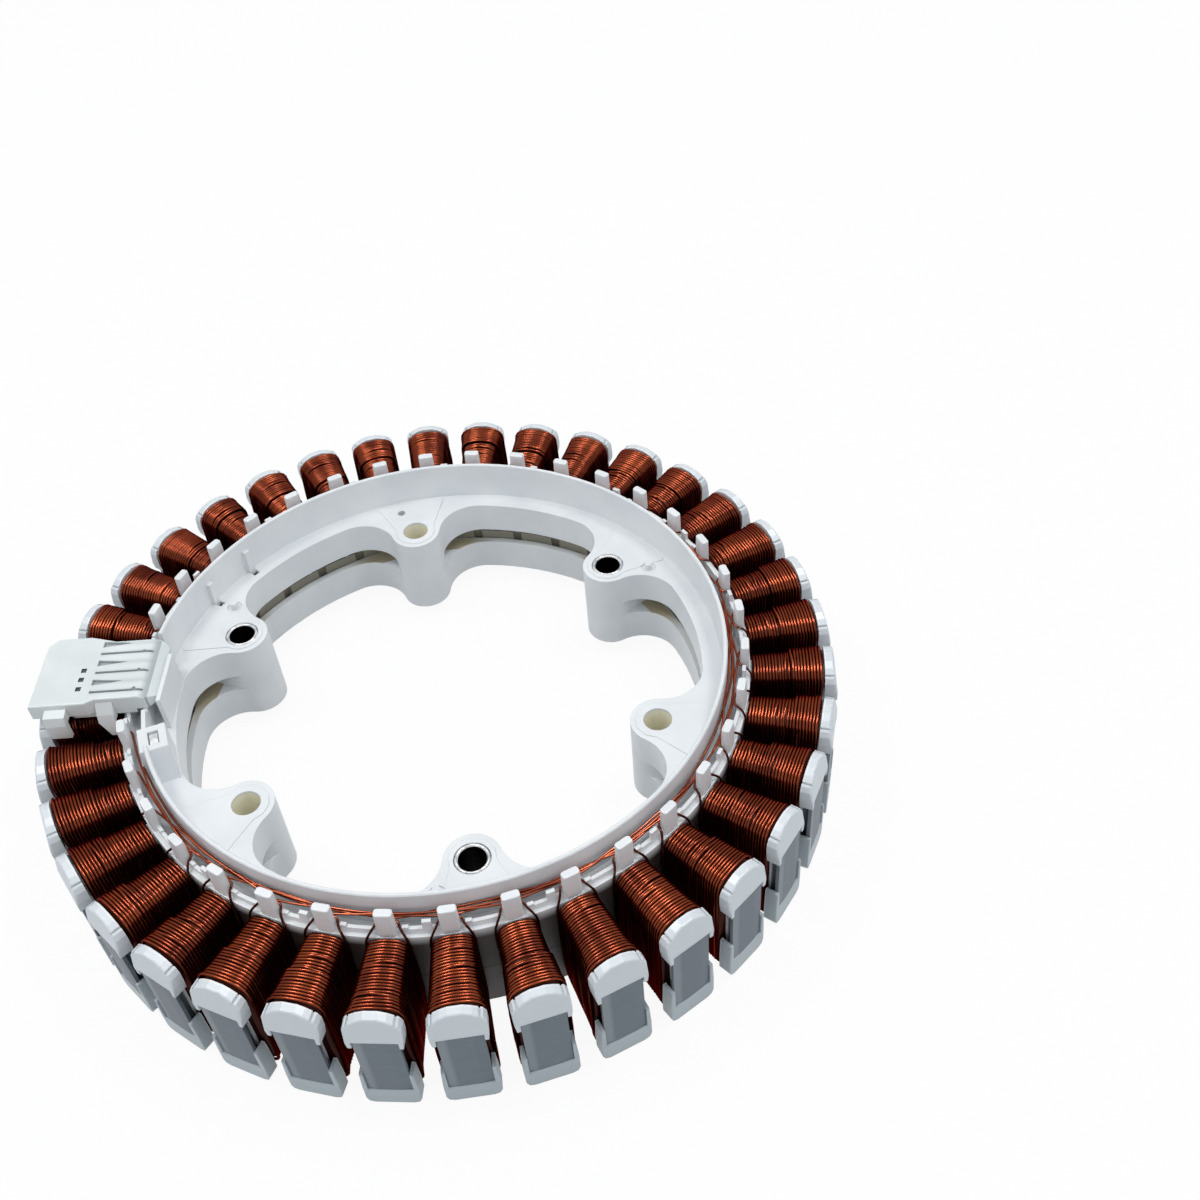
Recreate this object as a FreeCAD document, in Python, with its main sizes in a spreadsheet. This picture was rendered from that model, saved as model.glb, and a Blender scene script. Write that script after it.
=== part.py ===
import FreeCAD, Part
import math
import os
import re
import Sketcher

# Stator of an outer-rotor washing machine motor: a ring of 36 wound teeth with six mounting lugs inside it.
# The origin is on the ring's axis, +Z is up, and z = 0 is the plane that the lower tooth caps rest on.
# Most pieces are drawn with a tooth along +X and then turned by first_tooth_turn about the axis.

SIZES = {
    # ring of teeth
    "tooth_count": 36,
    "tooth_pitch": 10,
    "first_tooth_turn": 5,
    "stator_radius": 132,
    # laminated core
    "core_lift": 7.7,
    "stack_height": 27.2,
    "yoke_inner": 91,
    "yoke_outer": 101.6,
    "tooth_width": 7.4,
    "shoe_width": 13,
    "shoe_edge": 1.1,
    "shoe_flat_half_width": 3.25,
    "shoe_flare": 2.6,
    "shoe_crown": 0.35,
    "bend_notch": 1.7,
    # plastic thicknesses and fits
    "floor_wall": 1.3,
    "slot_wall": 0.8,
    "slip_gap": 0.1,
    "joint_gap": 0.2,
    "edge_round": 0.4,
    "overlap": 0.3,
    "overrun": 1,
    # inner shelf, skirts and lugs
    "opening_radius": 88.4,
    "skirt_drop": 12.2,
    "lower_skirt_top": 17.5,
    "lower_skirt_foot": 5,
    "lug_count": 6,
    "lug_turn": 25,
    "lug_circle": 76.4,
    "lug_nose": 9,
    "lug_flank": 13.5,
    "lug_joint": 22.9,
    "plain_bore": 4.65,
    "bush_bore": 4.4,
    "bush_outer": 5.55,
    "bush_seat_gap": 0.2,
    "pad_step": 0.25,
    "pad_nose": 7.4,
    "pad_reach": 93.4,
    "pad_half_width": 12.5,
    "pad_corner": 1.2,
    "sight_hole": 1.45,
    "sight_hole_circle": 88.3,
    "sight_hole_offset": 2.7,
    "peg_radius": 1.3,
    "peg_rise": 2.6,
    "peg_recess": 2.6,
    "peg_recess_depth": 0.5,
    "peg_circle": 86.6,
    "peg_offset": 7.8,
    # wall, wire channel and rail
    "wall_inner": 95.1,
    "wall_outer": 96.5,
    "wall_rise": 14.4,
    "channel_rise": 1.4,
    "rail_inner": 101.3,
    "rail_outer": 102.5,
    "rail_rise": 6.9,
    "rail_step": 0.8,
    "rail_step_width": 1.9,
    "rail_block_turn": 2.9,
    "hook_rise": 3.1,
    "hook_width": 2.6,
    "hook_turn": -3.6,
    "hook_every": 2,
    "flange_outer": 104,
    "flange_rise": 5,
    "foot_flange_drop": 3.4,
    # wire posts, on every tooth that the housing leaves clear
    "post_count": 34,
    "first_post_turn": 180,
    "post_radius": 102.1,
    "post_depth": 3.2,
    "post_width": 5.9,
    "post_rise": 15.1,
    "post_round": 1.2,
    "post_draft": 1,
    # saddles and caps of the teeth
    "crown_rise": 4.3,
    "foot_crown_rise": 2.5,
    "crown_shoulder": 2.3,
    "cap_back": 127.9,
    "cap_proud": 0.2,
    "cap_half_width": 8.2,
    "cap_rise": 8.4,
    "cap_lean": 1.5,
    "cap_crown_half_width": 2,
    "cap_shoulder_drop": 0.9,
    "cap_shoulder_half_width": 4.4,
    "cap_ear_drop": 2.8,
    "cap_ear_half_width": 7.4,
    "cap_end_drop": 2,
    "cap_end_half_width": 6.2,
    "cap_notch_width": 0.5,
    "cap_notch_depth": 0.9,
    "cap_round": 0.7,
    "cap_side_rise": 1.2,
    "cap_ear_rise": 1.8,
    "tab_drop": 2.9,
    "tab_width": 1.1,
    "foot_cap_half_width": 8.1,
    "foot_cap_round": 2.4,
    "foot_tab_rise": 8.8,
    # windings
    "turn_count": 22,
    "coil_gap": 0.15,
    "end_gap": 0.2,
    "wire_round": 0.36,
    "inner_build": 1.6,
    "outer_build": 3.35,
    "bore_corner": 2.2,
    "lead_radius": 0.45,
    "lead_side": 4.7,
    "lead_lift": 1.6,
    "lead_lean": 1.2,
    "lead_hook": 0.6,
    "lead_dip": 1.4,
    "lead_bend": 1,
    "lead_rail_gap": 0.2,
    # wires in the channel
    "wire_radius": 0.4,
    "wire_circle": 98.6,
    "wire_level": 6.2,
    "wire_spacing": 1.05,
    "wire_stagger": 1.3,
    "wire_start_turn": 187.5,
    "wire_sweep": 330,
    # connector housing over two teeth
    "housing_turn": 165,
    "housing_top": 51.7,
    "housing_depth": 5.7,
    "housing_wall": 1.6,
    "housing_inner": 90.6,
    "housing_outer": 131,
    "housing_far": 14,
    "housing_near": 16.5,
    "housing_waist": 11.3,
    "housing_corner": 3.2,
    "housing_round": 0.6,
    "near_step_inner": 110,
    "near_step_outer": 113,
    "far_step_inner": 108,
    "far_step_outer": 117,
    "hollow_inner": 97,
    "housing_seat_gap": 0.2,
    "housing_side_gap": 0.6,
    "nose_start": 95.8,
    "nose_drop": 3.6,
    "nose_first_drop": 1.15,
    "skirt_low": 43.4,
    "skirt_lift": 0.9,
    "foot_inner": 104.4,
    "foot_outer": 110,
    "foot_toe": 106.6,
    "foot_level": 38.6,
    "foot_shoulder": 17,
    "foot_reach": 19.2,
    "foot_width": 1.8,
    "foot_lean": 0.4,
    "leg_inner": 119,
    "leg_outer": 126,
    "leg_reach": 20,
    "leg_drop": 6,
    "leg_width": 1.7,
    "leg_lean": 0.4,
    "groove_depth": 1,
    "groove_start": 112,
    "groove_length": 10,
    "groove_width": 2.6,
    "groove_from": -9.9,
    "groove_spacing": 4.3,
    "long_groove_width": 0.9,
    "long_groove_length": 17.5,
    "pin_hole": 0.6,
    "pin_hole_radius": 97.6,
    "pin_from": -5.85,
    "pin_spacing": 8.35,
    "window_size": 1.6,
    "window_radius": 116,
    "window_from": 1.65,
    "window_spacing": 4.1,
    "board_thickness": 1.2,
    "board_gap": 0.15,
    "board_inner": 104,
    "board_outer": 128,
    "board_half_width": 9.2,
    "sensor_size": 3.2,
    "sensor_spacing": 6.4,
    "sensor_depth": 1.5,
    "terminal_inner": 98.3,
    "terminal_width": 1.8,
    "terminal_thickness": 0.8,
    "terminal_length": 8.4,
    # clip plate and splice block on the shelf
    "plate_radius": 89.3,
    "plate_thickness": 1.4,
    "plate_from": -5.5,
    "plate_to": 15.5,
    "plate_rise": 13.6,
    "block_turn": 183.3,
    "block_inner": 89,
    "block_outer": 98,
    "block_half_width": 5.1,
    "block_ramp": 4.4,
    "block_approach": 10,
    "block_rise": 11.5,
    "block_pocket": 3.4,
    "block_pocket_length": 5.6,
    "block_pocket_depth": 5,
    "block_pocket_radius": 93.2,
    "splice_gap": 0.35,
    # snap ribs on the wall
    "rib_turn": 126,
    "rib_step_turn": 11.6,
    "rib_count": 2,
    "rib_width": 2.4,
    "rib_depth": 1.6,
    "rib_rise": 9.6,
    "rib_slot": 2.2,
}

doc = FreeCAD.newDocument("stator")
sheet = doc.addObject("Spreadsheet::Sheet", "dims")
for row, (alias, size) in enumerate(SIZES.items(), 1):
    sheet.set(f"A{row}", str(size))
    sheet.setAlias(f"A{row}", alias)
doc.recompute()

vector = FreeCAD.Vector

# Heights and radii that follow from the sizes, as formulas of their names.
CORE_TOP = "(core_lift + stack_height)"
SHELF = "(core_lift + stack_height + floor_wall)"
SHELF_FOOT = "(core_lift + stack_height + floor_wall - skirt_drop)"
MID_JOINT = "(core_lift + stack_height / 2)"
RAIL_TOP = f"({SHELF} + rail_rise)"
FLANGE_TOP = f"({SHELF} + flange_rise)"
FLANGE_INNER = "(yoke_outer + joint_gap)"
SKIRT_BACK = "(yoke_inner - joint_gap)"
CAP_FRONT = "(stator_radius + cap_proud)"
CAP_CREASE = f"({CORE_TOP} + cap_side_rise)"
CAP_CROWN = f"({SHELF} + cap_rise)"
SADDLE_HALF = "(tooth_width / 2 + slip_gap + slot_wall)"
CORE_FIT_HALF = "(tooth_width / 2 + slip_gap)"
CROWN_TOP = f"({SHELF} + crown_rise)"
CROWN_FOOT = "(core_lift - floor_wall - foot_crown_rise)"
WALL_SEAT = "(housing_top - housing_depth - housing_seat_gap)"

# Points nearer to each other than this count as one when edges are picked.
SAME = 0.001


def bound(formula):
    """Turns a formula of size names into one that reads the sheet."""
    def cell(word):
        return "dims." + word[0] if word[0] in SIZES else word[0]

    return re.sub(r"[a-z][a-z_]+[a-z]", cell, formula)


def value(formula):
    return float(sheet.evalExpression(formula))


def origin_part(body, role):
    return [feature for feature in body.Origin.OriginFeatures if feature.Role == role][0]


def start_body(name, turn="first_tooth_turn"):
    body = doc.addObject("PartDesign::Body", name)
    body.Label = name
    body.Placement = FreeCAD.Placement(vector(0, 0, 0), FreeCAD.Rotation(vector(0, 0, 1), value(turn)))
    body.setExpression("Placement.Rotation.Angle", bound(turn))
    return body


def start_sketch(body, name, role="XY_Plane", lift="0", turn="0"):
    """A sketch on one of the body's own planes, lifted along its normal and turned about the ring's axis."""
    sketch = body.newObject("Sketcher::SketchObject", name)
    sketch.AttachmentSupport = (origin_part(body, role), [""])
    sketch.MapMode = "FlatFace"
    upright = role == "YZ_Plane"
    axis = vector(0, 1, 0) if upright else vector(0, 0, 1)
    along = f"({lift}) * cos({turn})" if upright else lift
    turned = FreeCAD.Rotation(axis, value(turn) or 360)
    sketch.AttachmentOffset = FreeCAD.Placement(vector(0, 0, value(along)), turned)
    sketch.setExpression("AttachmentOffset.Base.z", bound(along))
    if upright:
        sketch.setExpression("AttachmentOffset.Base.x", bound(f"({lift}) * sin({turn})"))
    if turn != "0":
        sketch.setExpression("AttachmentOffset.Rotation.Angle", bound(turn))
    return sketch


def bind(sketch, kind, *places, formula):
    index = sketch.addConstraint(Sketcher.Constraint(kind, *places, value(formula)))
    sketch.setExpression(f"Constraints[{index}]", bound(formula))


def place_point(sketch, edge, end, point):
    bind(sketch, "DistanceX", -1, 1, edge, end, formula=point[0])
    bind(sketch, "DistanceY", -1, 1, edge, end, formula=point[1])


def add_outline(sketch, points):
    """A closed outline of straight edges through points given as formulas."""
    corners = [vector(value(across), value(up), 0) for across, up in points]
    first = len(sketch.Geometry)
    count = len(corners)
    for index in range(count):
        sketch.addGeometry(Part.LineSegment(corners[index], corners[(index + 1) % count]))
    for index in range(count):
        following = first + (index + 1) % count
        sketch.addConstraint(Sketcher.Constraint("Coincident", first + index, 2, following, 1))
    for index, point in enumerate(points):
        place_point(sketch, first + index, 1, point)


def add_rectangle(sketch, left, right, low, high):
    add_outline(sketch, [(left, low), (right, low), (right, high), (left, high)])


def add_rounded_rectangle(sketch, left, right, low, high, radius):
    """A rectangle whose four corners are tangent arcs."""
    size = value(radius)
    corners = ((right, high, "-", "-"), (left, high, "+", "-"), (left, low, "+", "+"), (right, low, "-", "+"))
    centres = [(f"{across} {inward} {radius}", f"{up} {down} {radius}") for across, up, inward, down in corners]
    arcs = []
    for index, centre in enumerate(centres):
        circle = Part.Circle(vector(value(centre[0]), value(centre[1]), 0), vector(0, 0, 1), size)
        start = index * math.pi / 2
        arcs.append(sketch.addGeometry(Part.ArcOfCircle(circle, start, start + math.pi / 2)))
        place_point(sketch, arcs[-1], 3, centre)
        bind(sketch, "Radius", arcs[-1], formula=radius)
    for index, arc in enumerate(arcs):
        following = arcs[(index + 1) % 4]
        begin = sketch.Geometry[arc].EndPoint
        end = sketch.Geometry[following].StartPoint
        line = sketch.addGeometry(Part.LineSegment(begin, end))
        sketch.addConstraint(Sketcher.Constraint("Tangent", arc, 2, line, 1))
        sketch.addConstraint(Sketcher.Constraint("Tangent", line, 2, following, 1))


def add_circle(sketch, radius, across="0", up="0"):
    centre = vector(value(across), value(up), 0)
    edge = sketch.addGeometry(Part.Circle(centre, vector(0, 0, 1), value(radius)))
    bind(sketch, "Radius", edge, formula=radius)
    place_point(sketch, edge, 3, (across, up))


def pad(body, sketch, length, name, reverse=False):
    feature = body.newObject("PartDesign::Pad", name)
    feature.Profile = sketch
    feature.Reversed = reverse
    feature.setExpression("Length", bound(length))
    return feature


def pocket(body, sketch, length, name, reverse=False):
    feature = body.newObject("PartDesign::Pocket", name)
    feature.Profile = sketch
    feature.Reversed = reverse
    feature.setExpression("Length", bound(length))
    return feature


def revolve(body, sketch, name, angle="360"):
    feature = body.newObject("PartDesign::Revolution", name)
    feature.Profile = sketch
    feature.ReferenceAxis = (origin_part(body, "Z_Axis"), [""])
    feature.Midplane = True
    feature.setExpression("Angle", bound(angle))
    return feature


def repeat(body, features, count, name, whole=False, step=""):
    """Copies features, or the whole shape, round the axis."""
    feature = body.newObject("PartDesign::PolarPattern", name)
    if whole:
        feature.TransformMode = "Whole shape"
    else:
        feature.Originals = features
    feature.Axis = (origin_part(body, "Z_Axis"), [""])
    feature.setExpression("Occurrences", bound(count))
    if step:
        feature.Mode = "Spacing"
        feature.setExpression("Offset", bound(step))
    else:
        feature.Angle = 360
    body.Tip = feature
    return feature


def fillet(body, radius, name, chosen, kind="PartDesign::Fillet", size="Radius"):
    """Rounds or chamfers the edges of the body's last feature that the rule picks."""
    doc.recompute()
    base = body.Tip
    edges = [f"Edge{index}" for index, edge in enumerate(base.Shape.Edges, 1) if chosen(edge)]
    feature = body.newObject(kind, name)
    feature.Base = (base, edges)
    feature.setExpression(size, bound(radius))
    return feature


def ends_at(edge, test):
    return all(test(vertex.Point) for vertex in edge.Vertexes)


# Laminated core: yoke ring with bending notches and one shoe-ended tooth for each winding.
def make_core():
    body = start_body("laminated_core")
    yoke = start_sketch(body, "yoke_outline", lift="core_lift")
    add_circle(yoke, "yoke_outer")
    add_circle(yoke, "yoke_inner")
    pad(body, yoke, "stack_height", "yoke")
    notch = start_sketch(body, "notch_outline", lift="core_lift")
    add_circle(notch, "bend_notch", "yoke_inner")
    one_notch = pocket(body, notch, "stack_height", "notch", reverse=True)
    repeat(body, [one_notch], "tooth_count", "notches")
    tooth = start_sketch(body, "tooth_outline", lift="core_lift")
    side = "tooth_width / 2"
    tip = "shoe_width / 2"
    face = "stator_radius - shoe_crown"
    upper = [
        ("yoke_outer - overlap", side), ("stator_radius - shoe_flare", side), (f"{face} - shoe_edge", tip),
        (face, tip), ("stator_radius", "shoe_flat_half_width"),
    ]
    lower = [(across, "-" + up) for across, up in upper]
    add_outline(tooth, lower + upper[::-1])
    one_tooth = pad(body, tooth, "stack_height", "tooth")
    repeat(body, [one_tooth], "tooth_count", "teeth")
    return body


def add_mirrored(sketch, half):
    """A closed outline from its right half, bottom to top, and the mirror image of it."""
    left = [("-(" + across + ")", up) for across, up in half]
    add_outline(sketch, half + left[::-1])


def add_unit_flange(body, low, high):
    """The coil's inner flange over one pitch, open where the tooth passes."""
    band = start_sketch(body, "flange_outline", "XZ_Plane")
    add_rectangle(band, FLANGE_INNER, "flange_outer", low, high)
    revolve(body, band, "flange", "tooth_pitch")
    doc.recompute()
    passage = start_sketch(body, "passage_outline", "YZ_Plane", lift=f"{FLANGE_INNER} - overrun")
    add_rectangle(passage, f"-{CORE_FIT_HALF}", CORE_FIT_HALF, "core_lift", CORE_TOP)
    pocket(body, passage, "flange_outer - yoke_outer + 2 * overrun", "tooth_passage", reverse=True)


def add_saddle(body, half):
    """The slot lining along the tooth, from the flange to the cap."""
    lining = start_sketch(body, "saddle_outline", "YZ_Plane", lift="flange_outer - overlap")
    add_mirrored(lining, half)
    pad(body, lining, "cap_back - flange_outer + 2 * overlap", "saddle")


def add_lug_contour(body, low, height, name):
    """One share of the shelf with its lug, whose nose and flanks are tangent arcs."""
    contour = start_sketch(body, name + "_outline", lift=low, turn="lug_turn")
    ring = value("opening_radius")
    back = value(SKIRT_BACK)
    nose = value("lug_nose")
    flank = value("lug_flank")
    axis = vector(0, 0, 0)
    nose_centre = vector(value("lug_circle"), 0, 0)
    half_share = math.pi / value("lug_count")
    span = ring - flank
    join = math.acos((span**2 + nose_centre.x**2 - (flank + nose) ** 2) / (2 * span * nose_centre.x))
    flank_centre = vector(span * math.cos(join), span * math.sin(join), 0)
    to_nose = nose_centre - flank_centre
    dip = math.atan2(to_nose.y, to_nose.x)

    def arc(centre, radius, start, end):
        return contour.addGeometry(Part.ArcOfCircle(Part.Circle(centre, vector(0, 0, 1), radius), start, end))

    def radial_edge(turn):
        along = vector(math.cos(turn), math.sin(turn), 0)
        return contour.addGeometry(Part.LineSegment(along * back, along * ring))

    outer = arc(axis, back, -half_share, half_share)
    far_edge = radial_edge(half_share)
    far_ring = arc(axis, ring, join, half_share)
    far_flank = arc(flank_centre, flank, dip, join)
    nose_arc = arc(nose_centre, nose, math.pi + dip, math.pi - dip)
    near_flank = arc(vector(flank_centre.x, -flank_centre.y, 0), flank, -join, -dip)
    near_ring = arc(axis, ring, -half_share, -join)
    near_edge = radial_edge(-half_share)
    for one, end, other, start in (
        (outer, 2, far_edge, 1), (far_edge, 2, far_ring, 2),
        (near_ring, 1, near_edge, 2), (near_edge, 1, outer, 1),
    ):
        contour.addConstraint(Sketcher.Constraint("Coincident", one, end, other, start))
    for one, end, other, start in (
        (far_ring, 1, far_flank, 2), (far_flank, 1, nose_arc, 1),
        (nose_arc, 2, near_flank, 2), (near_flank, 1, near_ring, 2),
    ):
        contour.addConstraint(Sketcher.Constraint("Tangent", one, end, other, start))
    for edge in (outer, far_ring, near_ring):
        contour.addConstraint(Sketcher.Constraint("Coincident", edge, 3, -1, 1))
    place_point(contour, nose_arc, 3, ("lug_circle", "0"))
    for edge, radius in (
        (outer, SKIRT_BACK), (far_ring, "opening_radius"), (near_ring, "opening_radius"),
        (far_flank, "lug_flank"), (near_flank, "lug_flank"), (nose_arc, "lug_nose"),
    ):
        bind(contour, "Radius", edge, formula=radius)
    for edge, side in ((far_edge, ""), (near_edge, "-")):
        for radius, end in ((SKIRT_BACK, 1), ("opening_radius", 2)):
            up = f"{side}{radius} * sin(180 deg / lug_count)"
            bind(contour, "DistanceY", -1, 1, edge, end, formula=up)
    share = pad(body, contour, height, name)
    return repeat(body, [share], "lug_count", name + "s")


def add_lug_bosses(body, low, height):
    """The straight-sided boss under each lug, which meets the other insulator's boss."""
    nose = start_sketch(body, "boss_nose_outline", lift=low, turn="lug_turn")
    add_circle(nose, "lug_nose", "lug_circle")
    noses = pad(body, nose, height, "boss_nose")
    neck = start_sketch(body, "boss_neck_outline", lift=low, turn="lug_turn")
    add_rectangle(neck, "lug_circle", "opening_radius + overlap", "-lug_nose", "lug_nose")
    necks = pad(body, neck, height, "boss_neck")
    return repeat(body, [noses, necks], "lug_count", "bosses")


def cut_lug_bores(body, low, height):
    """Plain bores through every second lug and bush seats through the others."""
    for name, radius, turn in (
        ("bush_seat", "bush_outer + bush_seat_gap", "lug_turn"),
        ("plain_bore", "plain_bore", "lug_turn + 360 / lug_count"),
    ):
        bore = start_sketch(body, name + "_outline", lift=low, turn=turn)
        add_circle(bore, radius, "lug_circle")
        one = pocket(body, bore, height, name, reverse=True)
        repeat(body, [one], "lug_count / 2", name + "s")


def flat_at(height):
    """Tells whether an edge lies at a height."""
    level = value(height)
    return lambda edge: ends_at(edge, lambda point: abs(point.z - level) < SAME)


def make_posts(owner):
    """The drafted posts that the coils' leads pass."""
    body = start_body(owner + "_posts")
    body.AllowCompound = True
    foot = start_sketch(body, "post_outline", lift=SHELF, turn="first_post_turn")
    back = "(post_radius - post_depth / 2)"
    front = "(post_radius + post_depth / 2)"
    half = "(post_width / 2)"
    add_rounded_rectangle(foot, back, front, f"-{half}", half, "post_round")
    post = pad(body, foot, "post_rise", "post")
    post.setExpression("TaperAngle", bound("-post_draft"))
    fillet(body, "edge_round", "post_crown", flat_at(f"{SHELF} + post_rise"))
    repeat(body, [], "post_count", "posts", whole=True, step="tooth_pitch")
    return body


def leaning_edges(edge):
    """Picks the edges of the cap's leaning front, but not the crease at its foot."""
    low = value(CAP_CREASE)
    slope = value(f"cap_lean / ({CAP_CROWN} - {CAP_CREASE})")
    front = value(CAP_FRONT)
    on_front = ends_at(edge, lambda point: abs(front - slope * (point.z - low) - point.x) < SAME)
    above = any(vertex.Point.z > low + SAME for vertex in edge.Vertexes)
    return on_front and above


def add_upper_cap(body):
    """The domed cap over the tooth's end, leaning back, with tabs down both sides of its shoe."""
    outline = start_sketch(body, "cap_outline", "YZ_Plane", lift="cap_back")
    inner = "shoe_width / 2 + slip_gap"
    add_mirrored(outline, [
        (inner, CORE_TOP), (inner, f"{CORE_TOP} - tab_drop"),
        (f"{inner} + tab_width", f"{CORE_TOP} - tab_drop"),
        ("cap_half_width", CAP_CREASE), ("cap_half_width", f"{CAP_CROWN} - cap_ear_drop - cap_ear_rise"),
        ("cap_ear_half_width", f"{CAP_CROWN} - cap_ear_drop"),
        ("cap_end_half_width", f"{CAP_CROWN} - cap_end_drop"),
        ("cap_shoulder_half_width", f"{CAP_CROWN} - cap_shoulder_drop"),
        ("cap_crown_half_width", CAP_CROWN),
    ])
    pad(body, outline, f"{CAP_FRONT} - cap_back", "cap")
    lean = start_sketch(body, "cap_lean_outline", "XZ_Plane")
    top = f"{CAP_FRONT} - cap_lean"
    add_outline(lean, [
        (CAP_FRONT, CAP_CREASE), (f"{CAP_FRONT} + overrun", CAP_CREASE),
        (f"{CAP_FRONT} + overrun", f"{CAP_CROWN} + overrun"), (top, f"{CAP_CROWN} + overrun"), (top, CAP_CROWN),
    ])
    pocket(body, lean, "2 * (cap_half_width + overrun)", "cap_front_lean").Midplane = True
    fillet(body, "cap_round", "cap_front", leaning_edges)
    doc.recompute()
    notch = start_sketch(body, "cap_notch_outlines", "YZ_Plane", lift="cap_back")
    for side in ("-", ""):
        middle = f"{side}(cap_end_half_width + cap_notch_width / 2)"
        add_rectangle(notch, f"{middle} - cap_notch_width / 2", f"{middle} + cap_notch_width / 2",
                      f"{CAP_CROWN} - cap_end_drop - cap_notch_depth", CAP_CROWN)
    pocket(body, notch, f"{CAP_FRONT} - cap_back + overrun", "cap_notches", reverse=True)


def add_rail_block(body):
    """The low step beside each post on the rail."""
    block = start_sketch(body, "rail_block_outline", lift=f"{SHELF} + channel_rise", turn="rail_block_turn")
    add_rectangle(block, "rail_inner", "rail_outer", "-rail_step_width / 2", "rail_step_width / 2")
    pad(body, block, "rail_rise - channel_rise + rail_step", "rail_block")


def add_upper_ring(body):
    """Shelf, wall, wire channel and rail as one turned section."""
    section = start_sketch(body, "ring_section", "XZ_Plane")
    wall_top = f"{SHELF} + wall_rise"
    channel = f"{SHELF} + channel_rise"
    add_outline(section, [
        (f"{SKIRT_BACK} - overlap", CORE_TOP), ("rail_outer", CORE_TOP), ("rail_outer", RAIL_TOP),
        ("rail_inner", RAIL_TOP), ("rail_inner", channel), ("wall_outer", channel),
        ("wall_outer", f"{wall_top} - edge_round"), ("wall_outer - edge_round", wall_top),
        ("wall_inner + edge_round", wall_top), ("wall_inner", f"{wall_top} - edge_round"),
        ("wall_inner", SHELF), (f"{SKIRT_BACK} - overlap", SHELF),
    ])
    revolve(body, section, "ring")


def add_hooks(body):
    """Taller blocks on the rail that hold the wires down in the channel."""
    hook = start_sketch(body, "hook_outline", lift=f"{SHELF} + channel_rise", turn="hook_turn")
    add_rectangle(hook, "rail_inner", "rail_outer", "-hook_width / 2", "hook_width / 2")
    one = pad(body, hook, "rail_rise - channel_rise + hook_rise", "hook")
    repeat(body, [one], "tooth_count / hook_every", "hooks")


def add_lug_faces(body):
    """The slightly raised face round each bore."""
    face = start_sketch(body, "lug_face_outline", lift=SHELF, turn="lug_turn")
    half = []
    for turn in (165, 135, 105, 75):
        half.append((f"lug_circle + pad_nose * cos({turn} deg)", f"pad_nose * sin({turn} deg)"))
    half += [("pad_reach - pad_corner", "pad_half_width"), ("pad_reach", "pad_half_width - pad_corner")]
    add_outline(face, half + [(across, "-(" + up + ")") for across, up in half[::-1]])
    one = pad(body, face, "pad_step", "lug_face")
    repeat(body, [one], "lug_count", "lug_faces")


def add_locating_details(body):
    """Locating pegs in their recesses beside the bushed lugs, and the sight hole beside one plain lug."""
    place = ("peg_circle * cos(lug_turn - peg_offset)", "peg_circle * sin(lug_turn - peg_offset)")
    recess = start_sketch(body, "peg_recess_outline", lift=f"{SHELF} - peg_recess_depth")
    add_circle(recess, "peg_recess", *place)
    cut = pocket(body, recess, "peg_recess_depth + pad_step + overrun", "peg_recess", reverse=True)
    repeat(body, [cut], "lug_count / 2", "peg_recesses")
    peg = start_sketch(body, "peg_outline", lift=f"{SHELF} - peg_recess_depth")
    add_circle(peg, "peg_radius", *place)
    one = pad(body, peg, "peg_rise", "peg")
    repeat(body, [one], "lug_count / 2", "pegs")
    turn = "lug_turn + 360 / lug_count + sight_hole_offset"
    hole = start_sketch(body, "sight_hole_outline", lift=f"{SHELF} - skirt_drop / 2")
    add_circle(hole, "sight_hole", f"sight_hole_circle * cos({turn})", f"sight_hole_circle * sin({turn})")
    pocket(body, hole, "skirt_drop", "sight_hole", reverse=True)


def add_snap_ribs(body):
    """Two snap ribs inside the wall, each with a slot at its foot."""
    rib = start_sketch(body, "rib_outline", lift=SHELF, turn="rib_turn")
    add_rectangle(rib, "wall_inner - rib_depth", "wall_inner + overlap", "-rib_width / 2", "rib_width / 2")
    ribs = pad(body, rib, "rib_rise", "rib")
    repeat(body, [ribs], "rib_count", "ribs", step="rib_step_turn")
    slot = start_sketch(body, "rib_slot_outline", lift=f"{SHELF} - floor_wall", turn="rib_turn")
    front = "wall_inner - rib_depth"
    add_rectangle(slot, f"{front} - rib_slot", front, "-rib_width / 2", "rib_width / 2")
    slots = pocket(body, slot, "floor_wall + overrun", "rib_slot", reverse=True)
    repeat(body, [slots], "rib_count", "rib_slots", step="rib_step_turn")


def seat_housing(body):
    """The wall stops under the connector housing and beside the splice block."""
    seat = start_sketch(body, "housing_seat_outline", lift=WALL_SEAT, turn="housing_turn")
    add_rectangle(seat, "plate_radius", "flange_outer",
                  "-housing_far - housing_side_gap", "housing_near + housing_side_gap")
    pocket(body, seat, "wall_rise", "housing_seat", reverse=True)
    gate = start_sketch(body, "block_seat_outline", lift=f"{SHELF} + block_rise", turn="block_turn")
    add_rectangle(gate, "plate_radius", "wall_outer + joint_gap",
                  "-block_half_width - block_approach", "block_half_width")
    pocket(body, gate, "wall_rise", "block_seat", reverse=True)


def add_clip_plate(body):
    """The upright plate on the shelf that closes the housing's inner end."""
    plate = start_sketch(body, "plate_outline", lift=SHELF, turn="housing_turn")
    half = "plate_thickness / 2"
    add_rectangle(plate, f"plate_radius - {half}", f"plate_radius + {half}", "plate_from", "plate_to")
    pad(body, plate, "plate_rise", "clip_plate")


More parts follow.
